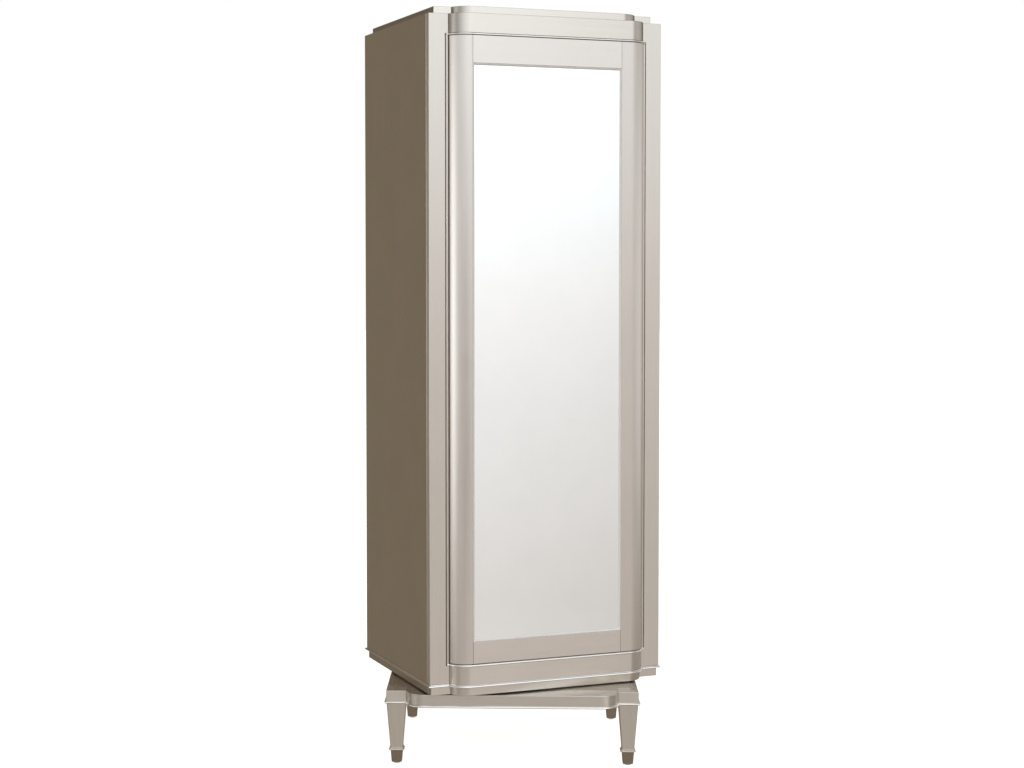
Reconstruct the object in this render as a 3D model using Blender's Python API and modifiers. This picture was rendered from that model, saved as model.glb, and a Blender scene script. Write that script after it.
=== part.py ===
"""A swivel armoire: a mirrored cupboard that turns on a four-legged base.

Metres, +Z up. The origin is on the swivel axis at floor level, and the case's door faces -Y.
The case is drawn square to the axes, and the base is turned under it by BASE_TURN.
"""

import math

import bmesh
import bpy
from mathutils import Matrix, Vector

# ---------------------------------------------------------------- driving dimensions
TOUCH = 0.0003  # gap kept between two pieces that touch
WELD_DISTANCE = 0.00003  # corners closer than this are one corner
ROUND_STEPS = 32  # sides of each round pin, plate, bore and glide

BASE_TURN = math.radians(-23.1)  # how far the base is turned under the case

# case plan
CASE_HALF_WIDTH = 0.315
CASE_FACE = -0.2245  # front of the corner posts
CASE_BACK = 0.2585
POST_WIDTH = 0.051
POST_DEPTH = 0.020
SIDE_THICKNESS = 0.018
PANEL_THICKNESS = 0.008
BOARD = 0.018
BULGE = 0.034  # how far the middle of the front stands before the posts
ARC_WIDTH = 0.047  # width of the rounded stretch at each end of that middle
ARC_STEPS = 10

# case levels
PLINTH_BOTTOM = 0.1928
MOULDING_BOTTOM = 0.2126
MOULDING_TOP = 0.2196
SILL_BOTTOM = 0.2645
SILL_TOP = 0.2705
HEAD_BOTTOM = 1.8095
HEAD_TOP = 1.8137
CASE_TOP = 1.8620
CAP_TOP = 1.8810

MOULDING_PROUD = 0.0048  # the lower moulding stands this far out of the case
PLINTH_SETBACK = 0.0042
PLINTH_THICKNESS = 0.018
BEAD_PROUD = 0.0020
SILL_PROUD = 0.0035
REBATE_WIDTH = 0.0100  # the groove and bead on each post's inner edge lie in this rebate
REBATE_DEPTH = 0.0080
BEAD_INSET = 0.0025
BEAD_WIDTH = 0.0040
CAP_SETBACK = 0.020
CAP_BACK_SETBACK = 0.007
CAP_POST_WIDTH = 0.0457

# inside
FLOOR_TOP = 0.2630
SHELF_FRONT = -0.1750
SHELF_THICKNESS = 0.018
SHELF_LEVELS = (0.640, 1.020, 1.400)

# door
DOOR_GAP = 0.0015
DOOR_BOTTOM = 0.2717
DOOR_TOP = 1.8085
DOOR_BACK = -0.2165
RAIL_BACK = -0.2365
STILE_INNER_LEFT = -0.2135
STILE_INNER_RIGHT = 0.1885
TOP_RAIL_EDGE = 1.7415
BOTTOM_RAIL_EDGE = 0.3265
MIRROR_SETBACK = 0.0040
MIRROR_THICKNESS = 0.0040
BACKING_THICKNESS = 0.0060
TRIM_WIDTH = 0.0045

# door pivots and touch latch
PIVOT_X = 0.225
PIVOT_Y = -0.225
PIN_RADIUS = 0.0040
PIN_LENGTH = 0.016
BORE_CLEARANCE = 0.0006
PIVOT_PLATE = 0.0015
PIVOT_PLATE_RADIUS = 0.0110
PIVOT_RECESS = 0.0024
LATCH_X = -0.238
LATCH_Z = 0.2830
LATCH_WIDTH = 0.018
LATCH_HEIGHT = 0.032
LATCH_FRONT = -0.2000
LATCH_LENGTH = 0.060
PLUNGER_RADIUS = 0.0040
PLUNGER_LENGTH = 0.034
STRIKE_THICKNESS = 0.0015

# base, in its own axes before it is turned
BASE_HALF_WIDTH = 0.315
BASE_FACE = -0.256
BASE_BACK = 0.256
BASE_TOP = 0.1893
BASE_BOARD = 0.012
APRON_BOTTOM = 0.1568
APRON_THICKNESS = 0.015
FRONT_APRON_THICKNESS = 0.020
BASE_BULGE = 0.044
BASE_ARC_WIDTH = 0.047
BASE_BEAD_HEIGHT = 0.0060
BASE_BEAD_PROUD = 0.0048
BLOCK = 0.051  # the square head of a leg

# legs
LEG_TOP_WIDTH = 0.049
LEG_FOOT_WIDTH = 0.031
RING_TOP = 0.0425
RING_BOTTOM = 0.0365
RING_WIDTH = 0.0385
RING_BEVEL = 0.0012
FERRULE_TOP_WIDTH = 0.0300
FERRULE_FOOT_WIDTH = 0.0260
FERRULE_BOTTOM = 0.0050
GLIDE_RADIUS = 0.0085

# swivel bearing
PLATE_SIZE = 0.260
PLATE_THICKNESS = 0.0025
OUTER_RACE = (0.1050, 0.1180)
INNER_RACE = (0.0900, 0.1035)
RACE_HEIGHT = 0.0040
BEARING_SPLIT = 0.0015  # free height between the two races' plates and rings
RACE_SIDES = 48

COLLECTION = "swivel_armoire"

# ---------------------------------------------------------------- materials
# base colour, metallic, roughness
FINISHES = {
    "champagne_paint": ((0.55, 0.49, 0.41), 0.55, 0.38),
    "inner_paint": ((0.38, 0.33, 0.27), 0.20, 0.55),
    "silver_bead": ((0.78, 0.76, 0.72), 0.85, 0.28),
    "bronze": ((0.25, 0.20, 0.15), 0.80, 0.40),
    "steel": ((0.60, 0.60, 0.60), 1.00, 0.35),
    "mirror_glass": ((0.90, 0.91, 0.92), 1.00, 0.03),
    "backing_board": ((0.22, 0.17, 0.12), 0.00, 0.80),
    "nylon": ((0.82, 0.82, 0.80), 0.00, 0.45),
}


def material(finish, name):
    """A material of its own for one sub-part."""
    colour, metallic, roughness = FINISHES[finish]
    made = bpy.data.materials.new(name)
    made.use_nodes = True
    shader = made.node_tree.nodes["Principled BSDF"]
    shader.inputs["Base Color"].default_value = (*colour, 1.0)
    shader.inputs["Metallic"].default_value = metallic
    shader.inputs["Roughness"].default_value = roughness
    made.diffuse_color = (*colour, 1.0)
    return made


# ---------------------------------------------------------------- scene helpers
def clear_scene():
    for old in list(bpy.data.objects):
        bpy.data.objects.remove(old, do_unlink=True)


def new_collection(name):
    made = bpy.data.collections.new(name)
    bpy.context.scene.collection.children.link(made)
    return made


def finish_part(obj, finish, parent):
    """Links a part to the object's collection under its parent empty and gives it its material."""
    for owner in list(obj.users_collection):
        owner.objects.unlink(obj)
    PARTS.objects.link(obj)
    obj.data.name = obj.name
    obj.data.materials.clear()
    obj.data.materials.append(material(finish, obj.name))
    obj.parent = parent
    return obj


def empty(name, location, parent=None, turn=0.0):
    made = bpy.data.objects.new(name, None)
    made.location = location
    made.rotation_euler.z = turn
    made.parent = parent
    PARTS.objects.link(made)
    return made


def local(parent, x, y, z):
    """A point of the object's frame as seen from a parent empty that isn't turned."""
    return Vector((x, y, z)) - parent.location


# ---------------------------------------------------------------- shape helpers
def mesh_object(name, bm):
    data = bpy.data.meshes.new(name)
    bm.to_mesh(data)
    bm.free()
    return bpy.data.objects.new(name, data)


def box(name, low, high, finish, parent, bevel=0.0):
    """A board between two corners, with its origin at its middle."""
    low = Vector(low)
    high = Vector(high)
    size = high - low
    bm = bmesh.new()
    bmesh.ops.create_cube(bm, size=1.0, matrix=Matrix.Diagonal((*size, 1.0)))
    obj = mesh_object(name, bm)
    obj.location = (low + high) / 2 - parent.location * (parent.rotation_euler.z == 0.0)
    finish_part(obj, finish, parent)
    if bevel:
        edge = obj.modifiers.new("rounded_edges", "BEVEL")
        edge.width = bevel
        edge.segments = 2
    return obj


def add_outline(curve, points):
    spline = curve.splines.new("POLY")
    spline.points.add(len(points) - 1)
    for point, (x, y) in zip(spline.points, points):
        point.co = (x, y, 0.0, 1.0)
    spline.use_cyclic_u = True


def plate(name, points, bottom, top, finish, parent, hole=None):
    """A flat outline drawn in plan, as thick as the height between bottom and top."""
    curve = bpy.data.curves.new(name, "CURVE")
    curve.dimensions = "2D"
    curve.fill_mode = "BOTH"
    curve.extrude = (top - bottom) / 2
    add_outline(curve, points)
    if hole:
        add_outline(curve, hole)
    obj = bpy.data.objects.new(name, curve)
    obj.location = (0.0, 0.0, (top + bottom) / 2)
    if parent.rotation_euler.z == 0.0:
        obj.location -= parent.location
    finish_part(obj, finish, parent)
    weld = obj.modifiers.new("weld_caps", "WELD")
    weld.merge_threshold = WELD_DISTANCE
    return obj


def as_mesh(obj):
    """Turns an evaluated curve into a mesh object, so that it can be cut."""
    bpy.context.view_layer.update()
    graph = bpy.context.evaluated_depsgraph_get()
    data = bpy.data.meshes.new_from_object(obj.evaluated_get(graph))
    bm = bmesh.new()
    bm.from_mesh(data)
    bmesh.ops.remove_doubles(bm, verts=bm.verts, dist=WELD_DISTANCE)
    bm.to_mesh(data)
    bm.free()
    name = obj.name
    parent = obj.parent
    place = obj.matrix_world.copy()
    materials = list(obj.data.materials)
    bpy.data.objects.remove(obj, do_unlink=True)
    made = bpy.data.objects.new(name, data)
    PARTS.objects.link(made)
    data.materials.clear()
    for item in materials:
        data.materials.append(item)
    made.parent = parent
    made.matrix_world = place
    return made


def cutter(name, bm, location, parent):
    obj = mesh_object(name, bm)
    obj.location = location
    obj.parent = parent
    obj.display_type = "WIRE"
    obj.hide_render = True
    CUTTERS.objects.link(obj)
    return obj


def boolean(obj, tool, operation):
    cut = obj.modifiers.new(tool.name, "BOOLEAN")
    cut.operation = operation
    cut.solver = "EXACT"
    cut.object = tool


def cylinder_mesh(radius, length, sides=ROUND_STEPS, matrix=None):
    bm = bmesh.new()
    bmesh.ops.create_cone(
        bm,
        cap_ends=True,
        segments=sides,
        radius1=radius,
        radius2=radius,
        depth=length,
        matrix=matrix or Matrix.Identity(4),
    )
    return bm


def square_taper_mesh(bottom_width, top_width, height):
    """A four-sided frustum with its faces square to the axes, centred on the origin."""
    bm = bmesh.new()
    bmesh.ops.create_cone(
        bm,
        cap_ends=True,
        segments=4,
        radius1=bottom_width / math.sqrt(2),
        radius2=top_width / math.sqrt(2),
        depth=height,
        matrix=Matrix.Rotation(math.pi / 4, 4, "Z"),
    )
    return bm


# ---------------------------------------------------------------- the breakfront outline
def arc_radius(width, depth):
    """Radius of an arc that is level with the front at its inner end."""
    return (width**2 + depth**2) / (2 * depth)


def breakfront(inner, face, bulge, arc_width, offset=0.0):
    """The front edge from left to right, between the posts' inner corners at +-inner.

    The middle stands bulge before the face, and an arc joins it to the face at each end.
    A positive offset moves the whole edge outwards.
    """
    radius = arc_radius(arc_width, bulge)
    sweep = math.asin(arc_width / radius)
    centre_x = inner - arc_width
    centre_y = face - bulge + radius
    right = []
    for step in range(ARC_STEPS + 1):
        angle = sweep * step / ARC_STEPS
        x = centre_x + (radius + offset) * math.sin(angle)
        y = centre_y - (radius + offset) * math.cos(angle)
        right.append((x, y))
    left = [(-x, y) for x, y in reversed(right)]
    return left + right


def case_outline(offset, setback=0.0, back_setback=0.0, post_width=POST_WIDTH):
    """The whole plan of the case, offset outwards or set back inwards, front edge first."""
    half = CASE_HALF_WIDTH - setback
    face = CASE_FACE + setback
    back = CASE_BACK - back_setback
    front = breakfront(half - post_width, face, BULGE, ARC_WIDTH, offset)
    inner_left = (front[0][0], face - offset)
    inner_right = (front[-1][0], face - offset)
    corners_right = [(half + offset, face - offset), (half + offset, back + offset)]
    corners_left = [(-half - offset, back + offset), (-half - offset, face - offset)]
    # an arc that stops short of the face line is carried on to it
    return [inner_left, *front[1:-1], inner_right, *corners_right, *corners_left]


def base_outline(offset):
    """The plan of the base in its own axes, offset outwards, front edge first."""
    half = BASE_HALF_WIDTH
    front = breakfront(half - BLOCK, BASE_FACE, BASE_BULGE, BASE_ARC_WIDTH, offset)
    inner_left = (front[0][0], BASE_FACE - offset)
    inner_right = (front[-1][0], BASE_FACE - offset)
    corners_right = [(half + offset, BASE_FACE - offset), (half + offset, BASE_BACK + offset)]
    corners_left = [(-half - offset, BASE_BACK + offset), (-half - offset, BASE_FACE - offset)]
    return [inner_left, *front[1:-1], inner_right, *corners_right, *corners_left]


def shaped_rail(name, inner, face, bulge, arc_width, offset, back, bottom, top, finish, parent):
    """A rail between the posts: the breakfront curve before, a straight edge behind."""
    front = breakfront(inner, face, bulge, arc_width, offset)
    limit = inner
    front = [(max(-limit, min(limit, x)), y) for x, y in front]
    points = [(-limit, back), (-limit, front[0][1]), *front[1:-1], (limit, front[-1][1]), (limit, back)]
    return plate(name, points, bottom, top, finish, parent)


# ---------------------------------------------------------------- base
def make_legs(base):
    rear_inset = APRON_THICKNESS + TOUCH
    centre_x = BASE_HALF_WIDTH - BLOCK / 2
    front_y = BASE_FACE + BLOCK / 2
    rear_y = BASE_BACK - BLOCK / 2
    places = {
        "front_left": (-centre_x, front_y),
        "front_right": (centre_x, front_y),
        "rear_left": (-centre_x + rear_inset, rear_y),
        "rear_right": (centre_x - rear_inset, rear_y),
    }
    for where, (x, y) in places.items():
        make_leg(where, x, y, base)


def make_leg(where, x, y, base):
    taper_top = APRON_BOTTOM + BASE_BEAD_HEIGHT / 2
    taper_height = taper_top - RING_TOP - TOUCH
    block_height = BASE_TOP - APRON_BOTTOM
    bm = square_taper_mesh(LEG_FOOT_WIDTH, LEG_TOP_WIDTH, taper_height)
    leg = mesh_object(where + "_leg", bm)
    leg.location = (x, y, taper_top - taper_height / 2)
    finish_part(leg, "champagne_paint", base)
    head = bmesh.new()
    size = (BLOCK, BLOCK, block_height, 1.0)
    bmesh.ops.create_cube(head, size=1.0, matrix=Matrix.Diagonal(size))
    head_tool = cutter(where + "_leg_head", head, (x, y, BASE_TOP - block_height / 2), base)
    boolean(leg, head_tool, "UNION")

    half = RING_WIDTH / 2
    low = (x - half, y - half, RING_BOTTOM)
    high = (x + half, y + half, RING_TOP)
    box(where + "_ring", low, high, "champagne_paint", base, bevel=RING_BEVEL)

    height = RING_BOTTOM - TOUCH - FERRULE_BOTTOM
    ferrule = mesh_object(
        where + "_ferrule", square_taper_mesh(FERRULE_FOOT_WIDTH, FERRULE_TOP_WIDTH, height)
    )
    ferrule.location = (x, y, FERRULE_BOTTOM + height / 2)
    finish_part(ferrule, "bronze", base)

    thickness = FERRULE_BOTTOM - TOUCH
    glide = mesh_object(where + "_glide", cylinder_mesh(GLIDE_RADIUS, thickness))
    glide.location = (x, y, thickness / 2)
    finish_part(glide, "nylon", base)


def make_aprons(base):
    inner = BASE_HALF_WIDTH - BLOCK - TOUCH
    shaped_rail(
        "front_apron", inner, BASE_FACE, BASE_BULGE, BASE_ARC_WIDTH, 0.0,
        BASE_FACE + FRONT_APRON_THICKNESS, APRON_BOTTOM, BASE_TOP, "champagne_paint", base,
    )
    outer = BASE_HALF_WIDTH
    inside = BASE_HALF_WIDTH - APRON_THICKNESS
    front = BASE_FACE + BLOCK + TOUCH
    for side, low_x, high_x in (("left", -outer, -inside), ("right", inside, outer)):
        low = (low_x, front, APRON_BOTTOM)
        high = (high_x, BASE_BACK, BASE_TOP)
        box(side + "_apron", low, high, "champagne_paint", base)
    reach = BASE_HALF_WIDTH - APRON_THICKNESS - BLOCK - 2 * TOUCH
    low = (-reach, BASE_BACK - APRON_THICKNESS, APRON_BOTTOM)
    box("back_apron", low, (reach, BASE_BACK, BASE_TOP), "champagne_paint", base)


def make_base_top(base):
    """The board that closes the base, let in flush between the aprons and the leg heads."""
    front = BASE_FACE + FRONT_APRON_THICKNESS + TOUCH
    block_in = BASE_HALF_WIDTH - BLOCK - TOUCH
    block_back = BASE_FACE + BLOCK + TOUCH
    side = BASE_HALF_WIDTH - APRON_THICKNESS - TOUCH
    rear_front = BASE_BACK - BLOCK - TOUCH
    rear_in = side - BLOCK - TOUCH
    back = BASE_BACK - APRON_THICKNESS - TOUCH
    right = [
        (block_in, front), (block_in, block_back), (side, block_back),
        (side, rear_front), (rear_in, rear_front), (rear_in, back),
    ]
    left = [(-x, y) for x, y in reversed(right)]
    plate("base_top", right + left, BASE_TOP - BASE_BOARD, BASE_TOP, "champagne_paint", base)


def make_base_bead(base):
    """The silver moulding round the aprons and leg heads, with the base inside its hole."""
    top = APRON_BOTTOM + BASE_BEAD_HEIGHT
    outer = base_outline(BASE_BEAD_PROUD)
    hole = base_outline(TOUCH)
    plate("base_bead", outer, APRON_BOTTOM, top, "silver_bead", base, hole)


def bearing_plate(name, bottom, race, race_middle, parent):
    """A square steel plate with a round race standing on it or hanging from it."""
    half = PLATE_SIZE / 2
    low = (-half, -half, bottom)
    high = (half, half, bottom + PLATE_THICKNESS)
    made = box(name, low, high, "steel", parent)
    inner, outer = race
    depth = RACE_HEIGHT + PLATE_THICKNESS
    offset = parent.location * (parent.rotation_euler.z == 0.0)
    place = Vector((0.0, 0.0, race_middle)) - offset
    rim = cutter(name + "_race", cylinder_mesh(outer, depth, RACE_SIDES), place, parent)
    hole = cutter(name + "_race_bore", cylinder_mesh(inner, 2 * depth, RACE_SIDES), place, parent)
    boolean(rim, hole, "DIFFERENCE")
    boolean(made, rim, "UNION")
    return made


def lower_plate_bottom():
    return BASE_TOP + TOUCH


def upper_plate_bottom():
    return lower_plate_bottom() + PLATE_THICKNESS + RACE_HEIGHT + BEARING_SPLIT


def make_lower_bearing(base):
    bottom = lower_plate_bottom()
    middle = bottom + (PLATE_THICKNESS + RACE_HEIGHT) / 2
    bearing_plate("bearing_lower_plate", bottom, OUTER_RACE, middle, base)


# ---------------------------------------------------------------- case
def make_upper_bearing(case):
    bottom = upper_plate_bottom()
    middle = bottom + PLATE_THICKNESS - (PLATE_THICKNESS + RACE_HEIGHT) / 2
    bearing_plate("bearing_upper_plate", bottom, INNER_RACE, middle, case)
    half = PLATE_SIZE / 2
    low = (-half, -half, bottom + PLATE_THICKNESS + TOUCH)
    box("bearing_packer", low, (half, half, MOULDING_BOTTOM - TOUCH), "inner_paint", case)


def make_plinth(case):
    half = CASE_HALF_WIDTH - PLINTH_SETBACK
    face = CASE_FACE + PLINTH_SETBACK
    back = CASE_BACK - PLINTH_SETBACK
    top = MOULDING_BOTTOM - TOUCH
    inner = CASE_HALF_WIDTH - POST_WIDTH
    front = breakfront(inner, CASE_FACE, BULGE, ARC_WIDTH, -PLINTH_SETBACK)
    rear = face + PLINTH_THICKNESS
    points = [
        (-half, rear), (-half, face), (front[0][0], face), *front[1:-1],
        (front[-1][0], face), (half, face), (half, rear),
    ]
    plate("plinth_front", points, PLINTH_BOTTOM, top, "champagne_paint", case)
    inside = half - PLINTH_THICKNESS
    for side, low_x, high_x in (("left", -half, -inside), ("right", inside, half)):
        low = (low_x, rear + TOUCH, PLINTH_BOTTOM)
        box("plinth_" + side, low, (high_x, back, top), "champagne_paint", case)
    low = (-inside + TOUCH, back - PLINTH_THICKNESS, PLINTH_BOTTOM)
    box("plinth_back", low, (inside - TOUCH, back, top), "champagne_paint", case)


def make_mouldings(case):
    plate(
        "bottom_moulding", case_outline(MOULDING_PROUD), MOULDING_BOTTOM, MOULDING_TOP,
        "silver_bead", case,
    )
    inner = CASE_HALF_WIDTH - POST_WIDTH - TOUCH
    back = CASE_FACE + POST_DEPTH
    plan = (inner, CASE_FACE, BULGE, ARC_WIDTH)
    shaped_rail("head_bead", *plan, BEAD_PROUD, back, HEAD_BOTTOM, HEAD_TOP, "silver_bead", case)
    shaped_rail("sill_bead", *plan, SILL_PROUD, back, SILL_BOTTOM, SILL_TOP, "silver_bead", case)
    paint = "champagne_paint"
    low_top = SILL_BOTTOM - TOUCH
    shaped_rail("lower_frieze", *plan, 0.0, back, MOULDING_TOP + TOUCH, low_top, paint, case)
    shaped_rail("upper_frieze", *plan, 0.0, back, HEAD_TOP + TOUCH, CASE_TOP, paint, case)


def make_posts(case):
    inner = CASE_HALF_WIDTH - POST_WIDTH
    outer = CASE_HALF_WIDTH
    bottom = MOULDING_TOP + TOUCH
    rear = CASE_FACE + POST_DEPTH
    for side, sign in (("left", -1), ("right", 1)):
        xs = sorted((sign * inner, sign * outer))
        low = (xs[0], CASE_FACE, bottom)
        post = box(side + "_post", low, (xs[1], rear, CASE_TOP), "champagne_paint", case)
        rebate = bmesh.new()
        height = HEAD_TOP - SILL_BOTTOM
        size = (2 * REBATE_WIDTH, 2 * REBATE_DEPTH, height, 1.0)
        bmesh.ops.create_cube(rebate, size=1.0, matrix=Matrix.Diagonal(size))
        place = local(case, sign * inner, CASE_FACE, (HEAD_TOP + SILL_BOTTOM) / 2)
        boolean(post, cutter(side + "_post_rebate", rebate, place, case), "DIFFERENCE")
        bead_edge = inner + BEAD_INSET
        xs = sorted((sign * bead_edge, sign * (bead_edge + BEAD_WIDTH)))
        low = (xs[0], CASE_FACE - BEAD_PROUD / 2, SILL_BOTTOM + TOUCH)
        high = (xs[1], CASE_FACE + REBATE_DEPTH - TOUCH, HEAD_TOP - TOUCH)
        box(side + "_bead", low, high, "silver_bead", case, bevel=BEAD_WIDTH / 4)


def make_shell(case):
    outer = CASE_HALF_WIDTH
    inside = CASE_HALF_WIDTH - SIDE_THICKNESS
    front = CASE_FACE + POST_DEPTH + TOUCH
    bottom = MOULDING_TOP + TOUCH
    for side, low_x, high_x in (("left", -outer, -inside), ("right", inside, outer)):
        low = (low_x, front, bottom)
        box(side + "_panel", low, (high_x, CASE_BACK, CASE_TOP), "champagne_paint", case)
    reach = inside - TOUCH
    panel_front = CASE_BACK - PANEL_THICKNESS
    low = (-reach, panel_front, bottom)
    box("back_panel", low, (reach, CASE_BACK, CASE_TOP), "inner_paint", case)
    back = panel_front - TOUCH
    low = (-reach, front, CASE_TOP - BOARD)
    box("case_top", low, (reach, back, CASE_TOP), "inner_paint", case)
    low = (-reach, front, FLOOR_TOP - BOARD)
    box("case_floor", low, (reach, back, FLOOR_TOP), "inner_paint", case)
    for number, level in enumerate(SHELF_LEVELS, start=1):
        low = (-reach, SHELF_FRONT, level - SHELF_THICKNESS)
        box("shelf_%d" % number, low, (reach, back, level), "inner_paint", case)
    plan = case_outline(0.0, CAP_SETBACK, CAP_BACK_SETBACK, CAP_POST_WIDTH)
    plate("cap", plan, CASE_TOP + TOUCH, CAP_TOP, "champagne_paint", case)


def make_pivots(case):
    """The two pivot hinges' case halves: a round plate with a pin that enters the door's stile."""
    top_plate = HEAD_BOTTOM - TOUCH
    bottom_plate = SILL_TOP + TOUCH
    spans = {
        "top_pivot": (top_plate - PIVOT_PLATE / 2, top_plate - PIN_LENGTH / 2),
        "bottom_pivot": (bottom_plate + PIVOT_PLATE / 2, bottom_plate + PIN_LENGTH / 2),
    }
    for name, (plate_middle, pin_middle) in spans.items():
        made = mesh_object(name, cylinder_mesh(PIVOT_PLATE_RADIUS, PIVOT_PLATE))
        made.location = local(case, PIVOT_X, PIVOT_Y, plate_middle)
        finish_part(made, "steel", case)
        place = local(case, PIVOT_X, PIVOT_Y, pin_middle)
        pin = cutter(name + "_pin", cylinder_mesh(PIN_RADIUS, PIN_LENGTH), place, case)
        boolean(made, pin, "UNION")


def make_latch(case, plunger_empty):
    half = LATCH_WIDTH / 2
    bottom = FLOOR_TOP + TOUCH
    low = (LATCH_X - half, LATCH_FRONT, bottom)
    high = (LATCH_X + half, LATCH_FRONT + LATCH_LENGTH, bottom + LATCH_HEIGHT)
    housing = box("latch_housing", low, high, "nylon", case)
    lying = Matrix.Rotation(math.pi / 2, 4, "X")
    bore = cylinder_mesh(PLUNGER_RADIUS + BORE_CLEARANCE, LATCH_LENGTH, matrix=lying)
    place = local(case, LATCH_X, LATCH_FRONT, LATCH_Z)
    boolean(housing, cutter("latch_bore", bore, place, case), "DIFFERENCE")
    plunger = mesh_object("latch_plunger", cylinder_mesh(PLUNGER_RADIUS, PLUNGER_LENGTH, matrix=lying))
    tip = DOOR_BACK + TOUCH + STRIKE_THICKNESS + TOUCH
    middle = Vector((LATCH_X, tip + PLUNGER_LENGTH / 2, LATCH_Z))
    plunger.location = middle - plunger_empty.location - case.location
    finish_part(plunger, "nylon", plunger_empty)


# ---------------------------------------------------------------- door
def door_edge():
    """The door's front edge in plan, from left to right, inside the opening."""
    inner = CASE_HALF_WIDTH - POST_WIDTH
    edge = breakfront(inner, CASE_FACE, BULGE, ARC_WIDTH)
    limit = inner - DOOR_GAP
    return [(x, y) for x, y in edge if abs(x) < limit], limit


def make_stiles(door):
    edge, limit = door_edge()
    left_arc = [point for point in edge if point[0] < STILE_INNER_LEFT - TOUCH]
    right_arc = [point for point in edge if point[0] > STILE_INNER_RIGHT + TOUCH]
    front = CASE_FACE - BULGE
    left = [
        (-limit, DOOR_BACK), (-limit, left_arc[0][1] + TOUCH), *left_arc,
        (STILE_INNER_LEFT, front), (STILE_INNER_LEFT, DOOR_BACK),
    ]
    right = [
        (STILE_INNER_RIGHT, DOOR_BACK), (STILE_INNER_RIGHT, front), *right_arc,
        (limit, right_arc[-1][1] + TOUCH), (limit, DOOR_BACK),
    ]
    paint = "champagne_paint"
    left_stile = plate("left_stile", left, DOOR_BOTTOM, DOOR_TOP, paint, door)
    right_stile = plate("right_stile", right, DOOR_BOTTOM, DOOR_TOP, paint, door)
    right_stile = as_mesh(right_stile)
    for name, level in (("top", DOOR_TOP), ("bottom", DOOR_BOTTOM)):
        bore = cylinder_mesh(PIN_RADIUS + BORE_CLEARANCE, 2 * PIN_LENGTH)
        place = local(door, PIVOT_X, PIVOT_Y, level)
        boolean(right_stile, cutter("pivot_bore_" + name, bore, place, door), "DIFFERENCE")
        recess = cylinder_mesh(PIVOT_PLATE_RADIUS + BORE_CLEARANCE, 2 * PIVOT_RECESS)
        boolean(right_stile, cutter("pivot_recess_" + name, recess, place, door), "DIFFERENCE")
    return left_stile, right_stile


def make_rails(door):
    low_x = STILE_INNER_LEFT + TOUCH
    high_x = STILE_INNER_RIGHT - TOUCH
    front = CASE_FACE - BULGE
    low = (low_x, front, TOP_RAIL_EDGE)
    box("top_rail", low, (high_x, RAIL_BACK, DOOR_TOP), "champagne_paint", door)
    high = (high_x, RAIL_BACK, BOTTOM_RAIL_EDGE)
    box("bottom_rail", (low_x, front, DOOR_BOTTOM), high, "champagne_paint", door)


def make_mirror(door):
    low_x = STILE_INNER_LEFT + TOUCH
    high_x = STILE_INNER_RIGHT - TOUCH
    low_z = BOTTOM_RAIL_EDGE + TOUCH
    high_z = TOP_RAIL_EDGE - TOUCH
    glass = CASE_FACE - BULGE + MIRROR_SETBACK
    behind = glass + MIRROR_THICKNESS
    box("mirror", (low_x, glass, low_z), (high_x, behind, high_z), "mirror_glass", door)
    low = (low_x, behind + TOUCH, low_z)
    high = (high_x, behind + TOUCH + BACKING_THICKNESS, high_z)
    box("mirror_backing", low, high, "backing_board", door)
    trim_back = glass - TOUCH
    trim_front = CASE_FACE - BULGE + BEAD_PROUD / 2
    trim = box(
        "mirror_trim", (low_x, trim_front, low_z), (high_x, trim_back, high_z), "champagne_paint", door
    )
    window = bmesh.new()
    width = high_x - low_x - 2 * TRIM_WIDTH
    height = high_z - low_z - 2 * TRIM_WIDTH
    bmesh.ops.create_cube(window, size=1.0, matrix=Matrix.Diagonal((width, BOARD, height, 1.0)))
    place = local(door, (low_x + high_x) / 2, trim_front, (low_z + high_z) / 2)
    boolean(trim, cutter("mirror_window", window, place, door), "DIFFERENCE")


def make_strike(door):
    half = LATCH_WIDTH / 2
    low = (LATCH_X - half, DOOR_BACK + TOUCH, LATCH_Z - PLUNGER_RADIUS * 2)
    high = (LATCH_X + half, DOOR_BACK + TOUCH + STRIKE_THICKNESS, LATCH_Z + PLUNGER_RADIUS * 4)
    box("strike_plate", low, high, "steel", door)


# ---------------------------------------------------------------- assembly
def main():
    base = empty("base_turn", (0.0, 0.0, 0.0), turn=BASE_TURN)
    make_base_top(base)
    make_aprons(base)
    make_base_bead(base)
    make_legs(base)
    make_lower_bearing(base)

    case = empty("case_swivel", (0.0, 0.0, PLINTH_BOTTOM))
    make_upper_bearing(case)
    make_plinth(case)
    make_mouldings(case)
    make_posts(case)
    make_shell(case)
    make_pivots(case)

    door = empty("door_pivot", (PIVOT_X, PIVOT_Y, DOOR_BOTTOM))
    make_stiles(door)
    make_rails(door)
    make_mirror(door)
    make_strike(door)

    plunger = empty("plunger_slide", local(case, LATCH_X, LATCH_FRONT, LATCH_Z), parent=case)
    make_latch(case, plunger)


clear_scene()
PARTS = new_collection(COLLECTION)
CUTTERS = new_collection("cutters")
main()
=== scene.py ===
"""Looks for the swivel armoire: brushed champagne lacquer, silver beads, bronzed feet, a mirror."""

import math

import bmesh
import bpy
from mathutils import Matrix, Vector


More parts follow.
